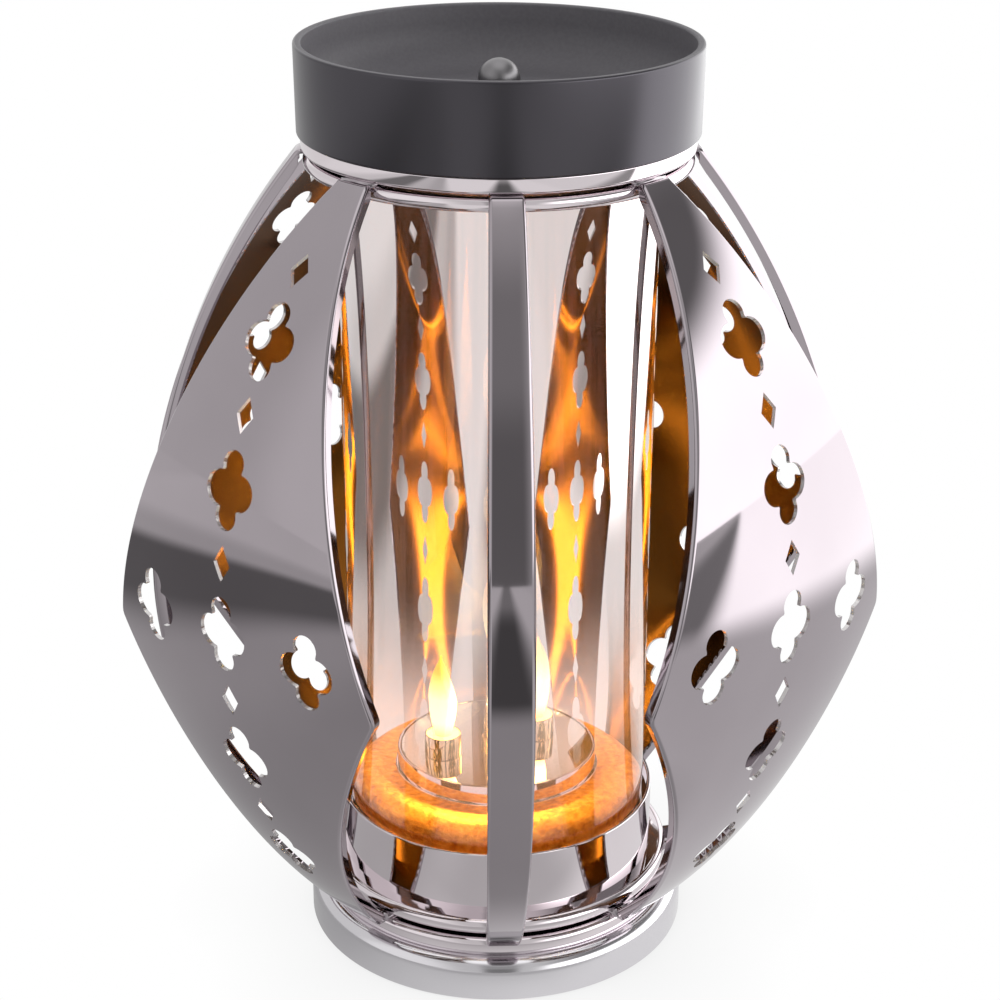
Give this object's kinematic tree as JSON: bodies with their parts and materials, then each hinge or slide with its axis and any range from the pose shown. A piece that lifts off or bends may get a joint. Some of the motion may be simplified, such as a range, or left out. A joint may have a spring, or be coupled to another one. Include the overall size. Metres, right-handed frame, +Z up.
{
  "type": "candle lantern",
  "caption": "Lantern with pierced mirror-metal petals and straps round a glass cylinder, flame lamps on short candles inside, a dished lift-off lid with a ball knob and a battery foot.",
  "frame": {"origin": "centre of the foot's underside, on the surface the lantern stands on", "axes": "+Z up along the glass cylinder's axis, -Y towards the front strap, +X to the right of the picture"},
  "size_m": [0.237, 0.237, 0.3],
  "materials": {
    "petal_metal": "black-nickel mirror outside, copper tone inside",
    "bright_chrome": "bright mirror chrome",
    "satin_chrome": "pale satin chrome",
    "lid_grey": "satin dark grey",
    "knob_metal": "satin grey metal",
    "clear_glass": "clear, with a thin pale mirror lustre outside that fades towards the foot",
    "copper_leaf": "copper leaf, brushed by hand",
    "mirror_glass": "silvered, polished",
    "board_green": "lacquered circuit board",
    "lamp_resin": "clear warm resin",
    "cup_metal": "polished",
    "wax": "waxy ivory",
    "flame": "milky warm resin, lit",
    "stick_brass": "polished",
    "black_plastic": "fine matt grain",
    "slider_plastic": "smooth",
    "cell_jacket": "plain sleeve",
    "contact_steel": "plated",
    "fastener_steel": "plated"
  },
  "bodies": {
    "lantern": {"petal_front_right": "petal_metal", "petal_back_right": "petal_metal", "petal_back_left": "petal_metal", "petal_front_left": "petal_metal", "strap_front": "petal_metal", "strap_right": "petal_metal", "strap_back": "petal_metal", "strap_left": "petal_metal", "lower_ring": "bright_chrome", "bead_ring": "bright_chrome", "pedestal": "bright_chrome", "upper_ring": "bright_chrome", "collar": "bright_chrome", "candle_drum": "bright_chrome", "foot": "satin_chrome", "glass_cylinder": "clear_glass", "floor_plate": "copper_leaf", "mirror_plate": "mirror_glass", "lamp_board": "board_green", "lamps": "lamp_resin", "cup_front_left": "cup_metal", "cup_right": "cup_metal", "cup_back": "cup_metal", "candle_front_left": "wax", "candle_right": "wax", "candle_back": "wax", "flame_front_left": "flame", "flame_right": "flame", "flame_back": "flame", "flame_tall": "flame", "stick_collar": "stick_brass", "stick_sleeve": "stick_brass", "stick_stem": "stick_brass", "base_plate": "black_plastic", "battery_box": "black_plastic", "switch_case": "black_plastic", "battery_cells": "cell_jacket", "contact_plates": "contact_steel", "contact_springs": "contact_steel", "foot_bolts": "fastener_steel", "foot_nuts": "fastener_steel", "top_screws": "fastener_steel", "base_screws": "fastener_steel"},
    "lid_unit": {"lid": "lid_grey", "ball_knob": "knob_metal", "knob_screw": "fastener_steel"},
    "door": {"battery_door": "black_plastic"},
    "slider": {"switch_slider": "slider_plastic"}
  },
  "joints": [
    {"name": "lid_lift", "type": "slide", "parent": "lantern", "child": "lid_unit", "axis": [0, 0, 1], "range_m": [0, 0.06]},
    {"name": "battery_door_hinge", "type": "hinge", "parent": "lantern", "child": "door", "pos_m": [0, 0.02375, 0.00115], "axis": [1, 0, 0], "range_deg": [0, 90]},
    {"name": "switch_slide", "type": "slide", "parent": "lantern", "child": "slider", "axis": [1, 0, 0], "range_m": [0, 0.0052]}
  ]
}
